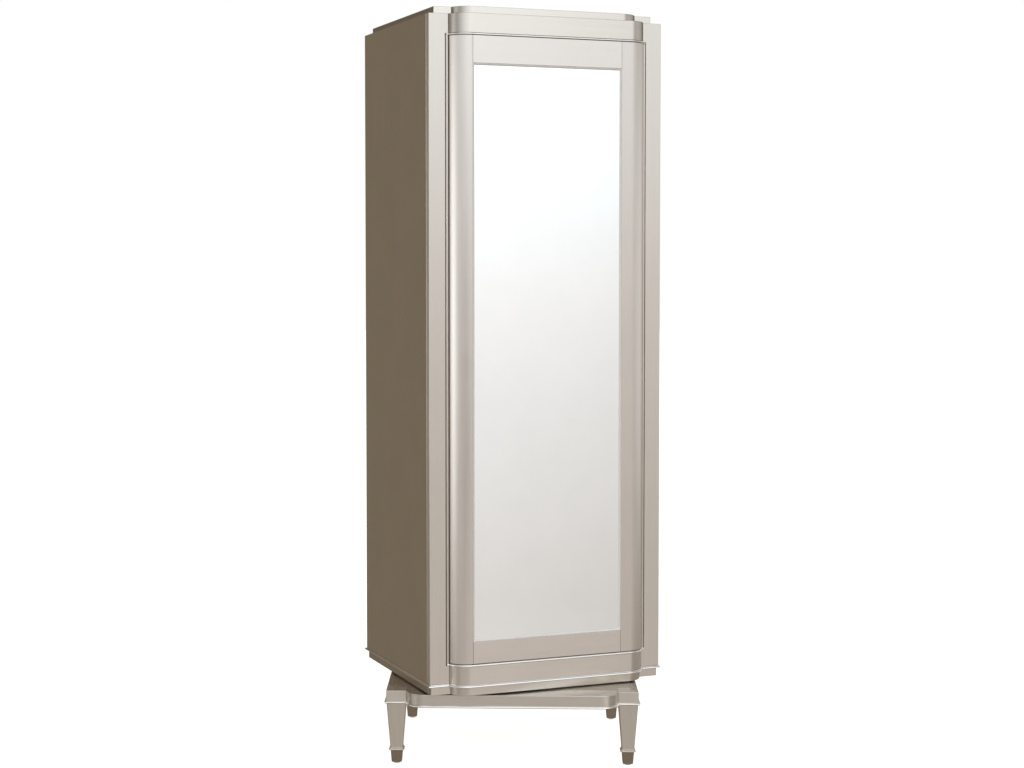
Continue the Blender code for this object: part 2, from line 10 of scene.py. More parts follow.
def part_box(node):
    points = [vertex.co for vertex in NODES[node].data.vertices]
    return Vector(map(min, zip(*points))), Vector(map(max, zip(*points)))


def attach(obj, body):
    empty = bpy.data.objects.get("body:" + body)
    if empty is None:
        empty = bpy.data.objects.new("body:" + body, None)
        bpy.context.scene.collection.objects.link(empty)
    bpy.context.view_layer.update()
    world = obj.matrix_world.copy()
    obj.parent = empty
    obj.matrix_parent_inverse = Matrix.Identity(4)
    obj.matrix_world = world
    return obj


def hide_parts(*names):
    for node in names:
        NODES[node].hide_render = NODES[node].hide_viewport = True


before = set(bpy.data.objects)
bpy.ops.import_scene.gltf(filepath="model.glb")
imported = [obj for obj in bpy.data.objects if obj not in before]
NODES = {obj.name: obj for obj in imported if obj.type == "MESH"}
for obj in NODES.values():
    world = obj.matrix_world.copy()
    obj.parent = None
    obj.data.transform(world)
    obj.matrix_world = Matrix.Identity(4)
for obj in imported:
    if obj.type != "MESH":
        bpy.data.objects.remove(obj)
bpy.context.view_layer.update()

# ---------------------------------------------------------------- dimensions, in metres
GAP = 0.0003  # clearance between neighbouring boards

# The case, square to the axes with its front towards -Y. Its front is a breakfront: flat posts,
# then a bend at each end of a straight middle that stands before them.
HALF = 0.315
FACE = -0.2245
BACK = 0.2585
POST = 0.051
POST_DEPTH = 0.020
INNER = HALF - POST
BULGE = 0.034
ARC = 0.047  # width of each bend
ARC_STEPS = 26

REBATE = 0.0085
REBATE_DEPTH = 0.0080
COCK_CENTRE = 0.0036  # middle of the bead in the rebate, from the post's inner edge
COCK_HALF_WIDTH = 0.0029
COCK_RISE = 0.0026
COCK_SINK = 0.0010
COCK_STEPS = 8

BEAD_REACH = 0.0065  # how far the head and sill beads run on past the posts' inner edges
BEAD_ROOT = -0.006
HEAD_PROUD = 0.0020
SILL_PROUD = 0.0035
# their half-round section from below: shares of how far they stand proud, and of their height
BEAD_SECTION = (
    (0.35, 0.00), (0.72, 0.10), (0.93, 0.26), (1.00, 0.46),
    (0.96, 0.64), (0.82, 0.82), (0.55, 0.95), (0.15, 1.00),
)

CAP_SETBACK = 0.020
CAP_BACK_SETBACK = 0.007
CAP_POST = 0.0457  # width of the flat at each end of the cap's front
PLINTH_SETBACK = 0.0042

# The nosed mouldings: offset outwards, and height from the nose's level, from the ledge down.
LEDGE = 0.0002
NOSE = (
    (0.0003, 0.0028), (0.0012, 0.0023), (0.0028, 0.0021), (0.0035, 0.0018),
    (0.0040, 0.0010), (0.0045, -0.0002), (0.00473, -0.0010),
)
UNDER_CASE = ((0.0044, -0.0016), (0.0034, -0.0020))
UNDER_BASE = ((0.0044, -0.0018), (0.0034, -0.0024))
MOULDING_FOOT = 0.0010
CASE_MOULDING_ROOT = -0.004
CASE_MOULDING_DROP = 0.0020  # from the nose's level to the foot
BASE_MOULDING_ROOT = -0.003
BASE_MOULDING_RISE = 0.0034  # from the foot to the nose's level

DOOR_GAP = 0.0015
STILE_CLEAR = 0.001  # no point of the bend lies nearer than this to a stile's inner edge
STILE_EASE = 0.0008  # how far a stile's outer edge falls back behind the bend
LIP_WIDTH = 0.0048
LIP_FLAT = 0.0014
LIP_OUTER_SINK = 0.0003
LIP_FLAT_SINK = 0.0002
LIP_OVER_GLASS = 0.0001

# The base, modelled square and then turned under the case.
TURN = math.radians(-23.1)
BASE_FACE = -0.256
BASE_BACK = 0.256
BASE_BULGE = 0.044
BASE_ARC = 0.047
BLOCK = 0.051  # width of a leg's square head
BLOCK_HALF = BLOCK / 2
REAR_INSET = 0.0153
APRON = 0.015
FRONT_APRON = 0.020

# A leg's rounded square sections: half width, corner radius, a level, and height above it.
LEG_SECTIONS = (
    (0.0150, 0.0020, "ring", -0.0010),
    (0.0155, 0.0026, "ring", 0.0),
    (0.0245, 0.0030, "block", -0.0002),
    (0.0245, 0.0010, "block", 0.0),
    (BLOCK_HALF, 0.0010, "block", 0.0002),
    (BLOCK_HALF, 0.0010, "top", -0.0012),
    (BLOCK_HALF - 0.0004, 0.0009, "top", -0.0004),
    (BLOCK_HALF - 0.0012, 0.0008, "top", 0.0),
)
RING_SECTIONS = (
    (0.0150, 0.0018, "low", -0.0002),
    (0.0180, 0.0014, "low", 0.0),
    (0.0190, 0.0014, "low", 0.0006),
    (0.01925, 0.0014, "low", 0.0013),
    (0.0190, 0.0014, "low", 0.0019),
    (0.0182, 0.0014, "low", 0.0022),
    (0.0170, 0.0014, "low", 0.0023),
    (0.0168, 0.0016, "low", 0.0026),
    (0.0168, 0.0020, "low", 0.0058),
    (0.0165, 0.0020, "low", 0.0061),
    (0.0140, 0.0020, "low", 0.0062),
)
FERRULE_SECTIONS = (
    (0.0090, 0.0030, "low", -0.0002),
    (0.0118, 0.0024, "low", 0.0002),
    (0.0128, 0.0020, "low", 0.0014),
    (0.0150, 0.0020, "high", -0.0002),
    (0.0148, 0.0020, "high", 0.0),
)
CORNER_POINTS = 5
GLIDE_RADIUS = 0.0092
# radius and height above the floor
GLIDE_DOME = (
    (0.0030, 0.0), (0.0056, 0.0004), (0.0076, 0.0013), (0.0088, 0.0027), (GLIDE_RADIUS, 0.0042),
)
GLIDE_SIDES = 28

# How far edges are rounded.
SOFT_EDGE = 0.0012
FRONT_APRON_EDGE = 0.0014
CAP_EDGE = 0.0011
PLINTH_EDGE = 0.0008
DOOR_EDGE = 0.0007
FINE_EDGE = 0.0006
EDGE_SEGMENTS = 3
EDGE_ANGLE = math.radians(40.0)
# Edges sharper than these, in degrees, stay crisp.
SHARP = 35.0
BEAD_SHARP = 50.0
LIP_SHARP = 20.0
WELD = 0.000005
FLATNESS = 90  # weight of the broad faces in the shading of a loft

# ---------------------------------------------------------------- finishes
PLAIN = (1.0, 1.0, 1.0)
LOW, HIGH = 0.3, 0.7  # the range that a noise pattern mostly keeps to
BRUSHED = 0.018  # how much a pattern is stretched along the grain
GRAINS = {"up": (1.0, 1.0, BRUSHED), "along": (BRUSHED, BRUSHED, 1.0)}

# A pattern: scale, detail and roughness of its noise, and distortion where there is any.
STREAKS = (900.0, 3.0, 0.6)
BROAD_STREAKS = (120.0, 3.0, 0.5)
CLOUDS = (9.0, 3.0, 0.5)
FLAKES = (1800.0, 2.0, 0.5)
LACQUER_SHARES = (0.35, 0.22, 0.20, 0.15)  # of those four patterns
LACQUER_SHADES = (0.91, 1.07)
LACQUER_RELIEF = (0.6, 0.4)  # of streaks and flakes
LACQUER_BUMP = (0.10, 0.0004)  # strength and distance
COAT = 0.25
COAT_ROUGHNESS = 0.35

# Painted shade: the bends at the ends of the cap and the upper frieze are darkened towards a dark
# brown, and their reflection is dimmed, to stand in for the shade that falls there.
END_SHADE_SHARE = 0.50
END_SHADE_COLOUR = (0.05, 0.035, 0.015, 1.0)
END_SHADE_TINT = (0.30, 0.27, 0.22, 1.0)
END_SHADE_COAT = 0.04
FRIEZE_END_SHADE = (INNER - 0.034, INNER)
CAP_END_SHADE = (INNER - 0.049, INNER - 0.0147)

METAL_GRAINS = (400.0, 4.0, 0.6)
METAL_BUMP = (0.08, 0.0003)
GLASS_HAZE = (14.0, 3.0, 0.5)
GLASS_TINTS = [(0.3, (0.865, 0.872, 0.868)), (0.7, (0.885, 0.890, 0.886))]
GLASS_ROUGHNESS = (0.004, 0.012)
FIBRES = (360.0, 5.0, 0.65, 0.6)
FIBRE_STRETCH = (1.0, 1.0, 0.35)
BOARD_CLOUDS = (12.0, 3.0, 0.5)
BOARD_SHARES = (0.65, 0.35)
BOARD_SHADES = (0.75, 1.2)
BOARD_ROUGHNESS = (0.62, 0.78)
BOARD_BUMP = (0.2, 0.0004)
NYLON_GRAINS = (700.0, 3.0, 0.5)
NYLON_TINTS = [(0.3, (0.66, 0.66, 0.68)), (0.7, (0.76, 0.76, 0.78))]
NYLON_ROUGHNESS = (0.34, 0.48)
NYLON_SUBSURFACE = 0.1
NYLON_BUMP = (0.06, 0.0002)

CHAMPAGNE_UP = (0.76, 0.695, 0.626)
CHAMPAGNE_ALONG = (0.70, 0.636, 0.572)
CHAMPAGNE_CAP = (0.72, 0.655, 0.59)
# Painted shade: the plinth's tone is darker than the rest of the case, to stand in for shade on it.
CHAMPAGNE_PLINTH_SHADED = (0.645, 0.58, 0.51)
CHAMPAGNE_SIDE = (0.705, 0.625, 0.535)
# Painted shade: the base's top is darker than the rest, to stand in for the shade that the case
# casts on it.
CHAMPAGNE_BASE_TOP_SHADED = (0.60, 0.52, 0.43)
CHAMPAGNE_STILE = (0.762, 0.690, 0.632)
CHAMPAGNE_RAIL = (0.698, 0.631, 0.576)
# Partly the beads' own pale tone, and partly lightened past it to paint a brighter highlight line
# on their noses.
BEAD_TONE_AND_HIGHLIGHT = (0.93, 0.89, 0.85)
# Painted light: the lip round the mirror gets a paler tone than the door, so that it looks lit on
# all sides.
LIP_LIGHTENED = (0.90, 0.86, 0.82)
DULL = (0.42, 0.375, 0.31)
BRONZED = (0.31, 0.25, 0.19)
PLATED = (0.62, 0.62, 0.61)
FIBREBOARD = (0.24, 0.17, 0.11)

# ---------------------------------------------------------------- studio
# The lamp's light is the product of two lists: how strong it is at each azimuth (0 straight
# before the case, + to its right), and its colour at each elevation, both in degrees.
AROUND = [
    (-180, 0.0), (-130, 0.0), (-118, 0.02), (-97, 0.07), (-77, 0.21), (-45, 0.55), (-17, 0.85),
    (0, 0.98), (14, 1.10), (22.3, 1.055), (24.3, 1.0), (26.3, 0.945), (30, 0.81), (35, 0.56),
    (41, 0.34), (50, 0.20), (73, 0.14), (95, 0.22), (125, 0.34), (155, 0.26), (180, 0.0),
]
RISE = [
    (-90, (0.48, 0.44, 0.39)), (-50, (0.56, 0.52, 0.465)), (-32, (0.50, 0.465, 0.425)),
    (-22, (0.505, 0.47, 0.43)), (-15, (0.77, 0.735, 0.70)), (-10.5, (0.745, 0.715, 0.69)),
    (-4.3, (0.90, 0.885, 0.875)), (-1, (1.02, 1.01, 1.005)), (2, (1.13, 1.16, 1.18)),
    (6, (1.34, 1.45, 1.54)), (12, (1.50, 1.65, 1.78)), (25, (1.36, 1.49, 1.60)),
    (45, (1.10, 1.17, 1.22)), (90, (1.15, 1.20, 1.23)),
]
FRONT = 1.12  # keeps the first list below one in its ramp
STRENGTH = 2.0  # keeps the second list below one in its ramp
ROOM = (0.094, 0.077, 0.054, 1.0)  # the light where the lamp's is nothing
# A dim stretch low in front, and a pale card on either side: low, high and softness in degrees.
DIM_AROUND = (-28, 12.5, 11)
DIM_RISE = (-10.5, 1.5, 3)
DIM_SHARE = 0.60
LEFT_CARD = (-114, -73, 11)
RIGHT_CARD = (52, 112, 11)
CARD_LIGHTS = (1.20, 0.31)
CARD_RISE = (-8, 6.5, 3.5)
CARD_TINT = (0.91, 1.0, 1.07)

FLOOR_RADIUS = 30.0
FLOOR_SIDES = 96
FLOOR_LEVEL = -0.0002
FLOOR_GLOW = 0.86
FLOOR_COLOUR = (0.75, 0.75, 0.75, 1.0)

CAMERA_PLACE = (-1.8796, -4.3757, 1.2533)
CAMERA_YAW = math.radians(20.675)
CAMERA_PITCH = math.radians(2.627)  # downwards
CAMERA_ROLL = math.radians(-0.112)
SENSOR_WIDTH = 36.0
LENS = 64.08
SHIFT_X = 0.080
SHIFT_Y = -0.035
CLIP_END = 200.0


# ---------------------------------------------------------------- node helpers
def empty_material(name):
    made = bpy.data.materials.new(name)
    made.use_nodes = True
    tree = made.node_tree
    tree.nodes.clear()
    return made, tree, tree.nodes.new("ShaderNodeOutputMaterial")


def new_material(name):
    made, tree, out = empty_material(name)
    shader = tree.nodes.new("ShaderNodeBsdfPrincipled")
    tree.links.new(shader.outputs["BSDF"], out.inputs["Surface"])
    return made, tree, shader


def object_coordinates(tree, scale=PLAIN):
    coords = tree.nodes.new("ShaderNodeTexCoord")
    mapping = tree.nodes.new("ShaderNodeMapping")
    mapping.inputs["Scale"].default_value = scale
    tree.links.new(coords.outputs["Object"], mapping.inputs["Vector"])
    return mapping.outputs["Vector"]


def noise(tree, pattern, stretch=PLAIN):
    """A pattern of scale, detail, roughness and, where there is any, distortion."""
    node = tree.nodes.new("ShaderNodeTexNoise")
    for name, value in zip(("Scale", "Detail", "Roughness", "Distortion"), (*pattern, 0.0)):
        node.inputs[name].default_value = value
    tree.links.new(object_coordinates(tree, stretch), node.inputs["Vector"])
    return node.outputs["Fac"]


def math_node(tree, operation, a, b=None):
    node = tree.nodes.new("ShaderNodeMath")
    node.operation = operation
    for socket, value in zip(node.inputs, (a, b)):
        if value is None:
            continue
        if isinstance(value, (int, float)):
            socket.default_value = value
        else:
            tree.links.new(value, socket)
    return node.outputs[0]


def times(tree, a, b):
    return math_node(tree, "MULTIPLY", a, b)


def blend(tree, values, shares):
    """The sum of the values, each times its share."""
    parts = [times(tree, value, share) for value, share in zip(values, shares)]
    total = parts[0]
    for part in parts[1:]:
        total = math_node(tree, "ADD", total, part)
    return total


def remap(tree, value, low, high, to_low=0.0, to_high=1.0, smooth=False):
    node = tree.nodes.new("ShaderNodeMapRange")
    if smooth:
        node.interpolation_type = "SMOOTHSTEP"
    node.inputs["From Min"].default_value = low
    node.inputs["From Max"].default_value = high
    node.inputs["To Min"].default_value = to_low
    node.inputs["To Max"].default_value = to_high
    tree.links.new(value, node.inputs["Value"])
    return node.outputs["Result"]


def band(tree, value, low, high, soft):
    """One between low and high, fading to nothing over soft on either side."""
    rising = remap(tree, value, low - soft, low + soft, smooth=True)
    falling = remap(tree, value, high - soft, high + soft, smooth=True)
    return math_node(tree, "SUBTRACT", rising, falling)


def ramp(tree, value, stops):
    node = tree.nodes.new("ShaderNodeValToRGB")
    elements = node.color_ramp.elements
    while len(elements) > 1:
        elements.remove(elements[-1])
    elements[0].position = stops[0][0]
    elements[0].color = (*stops[0][1], 1.0)
    for position, colour in stops[1:]:
        element = elements.new(position)
        element.color = (*colour, 1.0)
    tree.links.new(value, node.inputs["Fac"])
    return node.outputs["Color"]


def shades(colour, dark, light):
    """The colour made darker, and made lighter but never past one."""
    return tuple(c * dark for c in colour), tuple(min(1.0, c * light) for c in colour)


def mix_colours(tree, factor, first, second):
    """A mix of a colour and a second one; each is a socket or a plain RGBA."""
    mix = tree.nodes.new("ShaderNodeMix")
    mix.data_type = "RGBA"
    tree.links.new(factor, mix.inputs["Factor"])
    for name, colour in (("A", first), ("B", second)):
        if isinstance(colour, tuple):
            mix.inputs[name].default_value = colour
        else:
            tree.links.new(colour, mix.inputs[name])
    return mix.outputs["Result"]


def roughen(tree, shader, pattern, smooth, rough):
    tree.links.new(remap(tree, pattern, LOW, HIGH, smooth, rough), shader.inputs["Roughness"])


def bump(tree, shader, height, strength, distance):
    node = tree.nodes.new("ShaderNodeBump")
    node.inputs["Strength"].default_value = strength
    node.inputs["Distance"].default_value = distance
    tree.links.new(height, node.inputs["Height"])
    tree.links.new(node.outputs["Normal"], shader.inputs["Normal"])


# ---------------------------------------------------------------- materials
def paint_end_shade(tree, colour, start, end):
    """Paint shade on the bends at both ends of a breakfront, from start to end either side of its
    middle.
    """
    split = tree.nodes.new("ShaderNodeSeparateXYZ")
    tree.links.new(object_coordinates(tree), split.inputs["Vector"])
    across = math_node(tree, "ABSOLUTE", split.outputs["X"])
    amount = times(tree, remap(tree, across, start, end, smooth=True), END_SHADE_SHARE)
    amount = times(tree, amount, math_node(tree, "LESS_THAN", across, end + GAP))
    before = math_node(tree, "LESS_THAN", split.outputs["Y"], FACE + POST_DEPTH)
    return mix_colours(tree, times(tree, amount, before), colour, END_SHADE_COLOUR)


def lacquer(name, grain, colour, rough=0.33, metallic=0.86, anisotropy=0.8, ends=None):
    """Metallic lacquer brushed along its grain: "along" X and Y, or "up" Z."""
    made, tree, shader = new_material(name)
    streaks = noise(tree, STREAKS, GRAINS[grain])
    broad = noise(tree, BROAD_STREAKS, GRAINS[grain])
    clouds = noise(tree, CLOUDS)
    flakes = noise(tree, FLAKES)
    mixed = blend(tree, (streaks, broad, clouds, flakes), LACQUER_SHARES)
    dark, light = shades(colour, *LACQUER_SHADES)
    tint = ramp(tree, mixed, [(LOW, dark), (HIGH, light)])
    # Painted shade: with ends given, the bends are darkened, the reflection is tinted dim brown and
    # the coat is thinned.
    if ends:
        tint = paint_end_shade(tree, tint, *ends)
        shader.inputs["Specular Tint"].default_value = END_SHADE_TINT
    tree.links.new(tint, shader.inputs["Base Color"])
    shader.inputs["Metallic"].default_value = metallic
    roughen(tree, shader, mixed, rough - 0.04, rough + 0.05)
    shader.inputs["Anisotropic"].default_value = anisotropy
    shader.inputs["Anisotropic Rotation"].default_value = 0.0 if grain == "up" else 0.25
    tangent = tree.nodes.new("ShaderNodeTangent")
    tangent.direction_type = "RADIAL"
    tangent.axis = "Z"
    tree.links.new(tangent.outputs["Tangent"], shader.inputs["Tangent"])
    shader.inputs["Coat Weight"].default_value = END_SHADE_COAT if ends else COAT
    shader.inputs["Coat Roughness"].default_value = COAT_ROUGHNESS
    bump(tree, shader, blend(tree, (streaks, flakes), LACQUER_RELIEF), *LACQUER_BUMP)
    return made


def rail_lacquer(name, colour, ends=None):
    """The lacquer of the boards whose grain runs along, which are glossier than the posts."""
    return lacquer(name, "along", colour, rough=0.23, anisotropy=0.2, ends=ends)


def plain_metal(name, colour, rough, speckle=0.08):
    made, tree, shader = new_material(name)
    grains = noise(tree, METAL_GRAINS)
    dark, light = shades(colour, 1.0 - speckle, 1.0 + speckle)
    tint = ramp(tree, grains, [(0.35, dark), (0.65, light)])
    tree.links.new(tint, shader.inputs["Base Color"])
    shader.inputs["Metallic"].default_value = 1.0
    roughen(tree, shader, grains, rough - 0.05, rough + 0.06)
    bump(tree, shader, grains, *METAL_BUMP)
    return made


def silvered_glass(name):
    made, tree, shader = new_material(name)
    haze = noise(tree, GLASS_HAZE)
    tree.links.new(ramp(tree, haze, GLASS_TINTS), shader.inputs["Base Color"])
    shader.inputs["Metallic"].default_value = 1.0
    roughen(tree, shader, haze, *GLASS_ROUGHNESS)
    return made


def pressed_board(name, colour):
    """Pressed board: short fibres, dull."""
    made, tree, shader = new_material(name)
    fibres = noise(tree, FIBRES, FIBRE_STRETCH)
    mixed = blend(tree, (fibres, noise(tree, BOARD_CLOUDS)), BOARD_SHARES)
    dark, light = shades(colour, *BOARD_SHADES)
    tint = ramp(tree, mixed, [(0.32, dark), (0.68, light)])
    tree.links.new(tint, shader.inputs["Base Color"])
    roughen(tree, shader, mixed, *BOARD_ROUGHNESS)
    bump(tree, shader, fibres, *BOARD_BUMP)
    return made


def pale_nylon(name):
    made, tree, shader = new_material(name)
    grains = noise(tree, NYLON_GRAINS)
    tree.links.new(ramp(tree, grains, NYLON_TINTS), shader.inputs["Base Color"])
    roughen(tree, shader, grains, *NYLON_ROUGHNESS)
    shader.inputs["Subsurface Weight"].default_value = NYLON_SUBSURFACE
    shader.inputs["Subsurface Radius"].default_value = (0.002, 0.002, 0.002)
    bump(tree, shader, grains, *NYLON_BUMP)
    return made


def floor_paper(name):
    """Pale paper with a glow of its own, which keeps the floor even."""
    made, tree, out = empty_material(name)
    glow = tree.nodes.new("ShaderNodeEmission")
    glow.inputs["Strength"].default_value = FLOOR_GLOW
    matt = tree.nodes.new("ShaderNodeBsdfDiffuse")
    matt.inputs["Color"].default_value = FLOOR_COLOUR
    both = tree.nodes.new("ShaderNodeAddShader")
    tree.links.new(glow.outputs["Emission"], both.inputs[0])
    tree.links.new(matt.outputs["BSDF"], both.inputs[1])
    tree.links.new(both.outputs["Shader"], out.inputs["Surface"])
    return made


UP = lacquer("lacquer_grain_up", "up", CHAMPAGNE_UP)
ALONG = rail_lacquer("lacquer_grain_along", CHAMPAGNE_ALONG)
# The frieze and the cap carry painted shade on their bends.
FRIEZE = rail_lacquer("lacquer_frieze_end_shade", CHAMPAGNE_ALONG, ends=FRIEZE_END_SHADE)
CAP = rail_lacquer("lacquer_cap_end_shade", CHAMPAGNE_CAP, ends=CAP_END_SHADE)
# The plinth's darker tone is painted shade.
PLINTH = rail_lacquer("lacquer_plinth_shaded", CHAMPAGNE_PLINTH_SHADED)
SIDE = lacquer("lacquer_side", "up", CHAMPAGNE_SIDE, rough=0.24, anisotropy=0.3)
# The bead's light tone is partly its own and partly a painted highlight.
BEAD = lacquer("lacquer_bead", "along", BEAD_TONE_AND_HIGHLIGHT, rough=0.20, anisotropy=0.2)
# The base top's darker tone is painted shade.
TOP = lacquer(
    "lacquer_base_top_shaded", "along", CHAMPAGNE_BASE_TOP_SHADED, rough=0.44, metallic=0.85, anisotropy=0.2
)
DOOR_UP = lacquer("lacquer_door_up", "up", CHAMPAGNE_STILE)
DOOR_ALONG = rail_lacquer("lacquer_door_along", CHAMPAGNE_RAIL)
# The lip's paler tone is painted light.
LIP = lacquer("lacquer_lip_lightened", "along", LIP_LIGHTENED, rough=0.45, metallic=0.0, anisotropy=0.0)
INSIDE = lacquer("lacquer_inside", "along", DULL, rough=0.5, metallic=0.4, anisotropy=0.3)
BRONZE = plain_metal("bronzed_ferrule", BRONZED, 0.36, speckle=0.12)
STEEL = plain_metal("plated_steel", PLATED, 0.30)
MIRROR = silvered_glass("silvered_glass")
BOARD = pressed_board("fibreboard", FIBREBOARD)
NYLON = pale_nylon("nylon")
PAPER = floor_paper("floor_paper")


# ---------------------------------------------------------------- mesh helpers
def finish_mesh(name, bm, material, sharp=SHARP):
    bmesh.ops.remove_doubles(bm, verts=bm.verts, dist=WELD)
    bmesh.ops.recalc_face_normals(bm, faces=bm.faces)
    data = bpy.data.meshes.new(name)
    bm.to_mesh(data)
    bm.free()
    data.shade_smooth()
    data.set_sharp_from_angle(angle=math.radians(sharp))
    obj = bpy.data.objects.new(name, data)
    bpy.context.scene.collection.objects.link(obj)
    data.materials.append(material)
    return obj


def round_edges(obj, width):
    edge = obj.modifiers.new("rounded_edges", "BEVEL")
    edge.width = width
    edge.segments = EDGE_SEGMENTS
    edge.limit_method = "ANGLE"
    edge.angle_limit = EDGE_ANGLE
    edge.harden_normals = True
    edge.miter_outer = "MITER_ARC"


def prism(name, points, low, high, material, edge):
    """A board: a plan outline, as thick as from low to high, with rounded edges."""
    bm = bmesh.new()
    bottom = [bm.verts.new((x, y, low)) for x, y in points]
    top = [bm.verts.new((x, y, high)) for x, y in points]
    bm.faces.new(bottom[::-1])
    bm.faces.new(top)
    for index in range(len(points)):
        follow = (index + 1) % len(points)
        bm.faces.new((bottom[index], bottom[follow], top[follow], top[index]))
    obj = finish_mesh(name, bm, material)
    round_edges(obj, edge)
    return obj


def board(name, low, high, material, edge):
    points = [(low[0], low[1]), (high[0], low[1]), (high[0], high[1]), (low[0], high[1])]
    return prism(name, points, low[2], high[2], material, edge)


def block(name, size, middle, material):
    bm = bmesh.new()
    matrix = Matrix.Translation(middle) @ Matrix.Diagonal((*size, 1.0))
    bmesh.ops.create_cube(bm, size=1.0, matrix=matrix)
    return finish_mesh(name, bm, material)


def loft(name, rings, material, closed_loop=False, sharp=SHARP):
    """Quads between rings of equally many points, capped at both ends or closed on itself.

    Its broad faces are shaded flat, and the narrow roundings between them carry the bend.
    """
    bm = bmesh.new()
    made = [[bm.verts.new(point) for point in ring] for ring in rings]
    pairs = list(zip(made, made[1:]))
    if closed_loop:
        pairs.append((made[-1], made[0]))
    for lower, upper in pairs:
        for index in range(len(lower)):
            follow = (index + 1) % len(lower)
            bm.faces.new((lower[index], lower[follow], upper[follow], upper[index]))
    if not closed_loop:
        bm.faces.new(made[0][::-1])
        bm.faces.new(made[-1])
    obj = finish_mesh(name, bm, material, sharp)
    weighted = obj.modifiers.new("weighted_normals", "WEIGHTED_NORMAL")
    weighted.keep_sharp = True
    weighted.weight = FLATNESS
    return obj


def front_curve(inner, face, bulge, arc, offset=0.0):
    """The breakfront in plan, left to right: a bend at each end and a straight middle."""
    radius = (arc**2 + bulge**2) / (2 * bulge)
    sweep = math.asin(arc / radius)
    centre_x = inner - arc
    centre_y = face - bulge + radius
    right = []
    for step in range(ARC_STEPS + 1):
        angle = sweep * step / ARC_STEPS
        x = centre_x + (radius + offset) * math.sin(angle)
        y = centre_y - (radius + offset) * math.cos(angle)
        right.append((x, y))
    left = [(-x, y) for x, y in reversed(right)]
    return left + right


def flat_ends(front, half, level):
    """The breakfront with its ends brought to a level and run on to half on either side."""
    start = [(-half, level), (front[0][0], level)]
    return [*start, *front[1:-1], (front[-1][0], level), (half, level)]


def outline(offset, half, face, back, post, bulge, arc):
    """A whole plan with square corners and a breakfront, offset outwards."""
    front = front_curve(half - post, face, bulge, arc, offset)
    start = (front[0][0], face - offset)
    end = (front[-1][0], face - offset)
    right = [(half + offset, face - offset), (half + offset, back + offset)]
    left = [(-half - offset, back + offset), (-half - offset, face - offset)]
    return [start, *front[1:-1], end, *right, *left]


def case_plan(offset):
    return outline(offset, HALF, FACE, BACK, POST, BULGE, ARC)


def base_plan(offset):
    return outline(offset, HALF, BASE_FACE, BASE_BACK, BLOCK, BASE_BULGE, BASE_ARC)


def rail_plan(inner, face, bulge, arc, back):
    """A board with a breakfront and a flat back: a frieze, or the front apron."""
    front = front_curve(inner, face, bulge, arc)
    front = [(max(-inner, min(inner, x)), y) for x, y in front]
    return [(-inner, back), *front, (inner, back)]


def moulding(name, plan, root, top, nose, under, foot):
    """A nosed moulding round a plan, from its top at the ledge, round the nose, to its foot."""
    profile = [(root, top), (LEDGE, top)]
    profile += [(offset, nose + height) for offset, height in (*NOSE, *under)]
    profile += [(MOULDING_FOOT, foot), (root, foot)]
    rings = [[(x, y, z) for x, y in plan(offset)] for offset, z in profile]
    return loft(name, rings, BEAD, closed_loop=True, sharp=BEAD_SHARP)


def put(obj, body, slot, *nodes):
    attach(obj, body)
    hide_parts(*nodes)


def put_turned(obj, slot, node):
    """A piece of the base, modelled square and turned here."""
    obj.data.transform(Matrix.Rotation(TURN, 4, "Z"))
    put(obj, "base", slot, node)


# ---------------------------------------------------------------- case
def make_post(side, sign):
    """A corner post, with its inner front edge rebated from the sill to the head."""
    low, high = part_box(side + "_post")
    inner = sign * INNER
    size = (HALF - INNER, high.y - FACE, high.z - low.z)
    middle = ((sign * HALF + inner) / 2, (high.y + FACE) / 2, (high.z + low.z) / 2)
    post = block("post_" + side, size, middle, UP)
    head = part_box("head_bead")[1].z
    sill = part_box("sill_bead")[0].z
    size = (2 * REBATE, 2 * REBATE_DEPTH, head - sill)
    tool = block("cut_" + side, size, (inner, FACE, (sill + head) / 2), UP)
    cutting = post.modifiers.new("rebate", "BOOLEAN")
    cutting.object = tool
    bpy.context.view_layer.update()
    graph = bpy.context.evaluated_depsgraph_get()
    data = bpy.data.meshes.new_from_object(post.evaluated_get(graph))
    post.modifiers.clear()
    post.data = data
    bpy.data.objects.remove(tool, do_unlink=True)
    round_edges(post, SOFT_EDGE)
    put(post, "case", "champagne_paint", side + "_post")


def make_cock_bead(side, sign):
    """The half-round bead that stands in a post's rebate."""
    low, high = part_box(side + "_bead")
    rings = []
    for z in (low.z, high.z):
        points = []
        for step in range(COCK_STEPS + 1):
            angle = math.pi * step / COCK_STEPS
            x = sign * (INNER + COCK_CENTRE) - COCK_HALF_WIDTH * math.cos(angle)
            y = FACE + COCK_SINK - COCK_RISE * math.sin(angle)
            points.append((x, y, z))
        points += [(points[-1][0], high.y, z), (points[0][0], high.y, z)]
        rings.append(points)
    bead = loft("cock_bead_" + side, rings, UP, sharp=BEAD_SHARP)
    put(bead, "case", "silver_bead", side + "_bead")


def arc_bead(name, proud, low, high):
    """A half-round bead along the breakfront, standing proud of it."""
    section = [(BEAD_ROOT, low)]
    section += [(proud * out, low + (high - low) * rise) for out, rise in BEAD_SECTION]
    section += [(BEAD_ROOT, high)]
    bm = bmesh.new()
    made = []
    for offset, z in section:
        front = front_curve(INNER, FACE, BULGE, ARC, offset)
        line = flat_ends(front, INNER + BEAD_REACH, FACE - offset)
        made.append([bm.verts.new((x, y, z)) for x, y in line])
    for lower, upper in zip(made, made[1:] + made[:1]):
        for index in range(len(lower) - 1):
            bm.faces.new((lower[index], lower[index + 1], upper[index + 1], upper[index]))
    bm.faces.new([line[0] for line in made])
    bm.faces.new([line[-1] for line in reversed(made)])
    return finish_mesh(name, bm, BEAD, sharp=BEAD_SHARP)


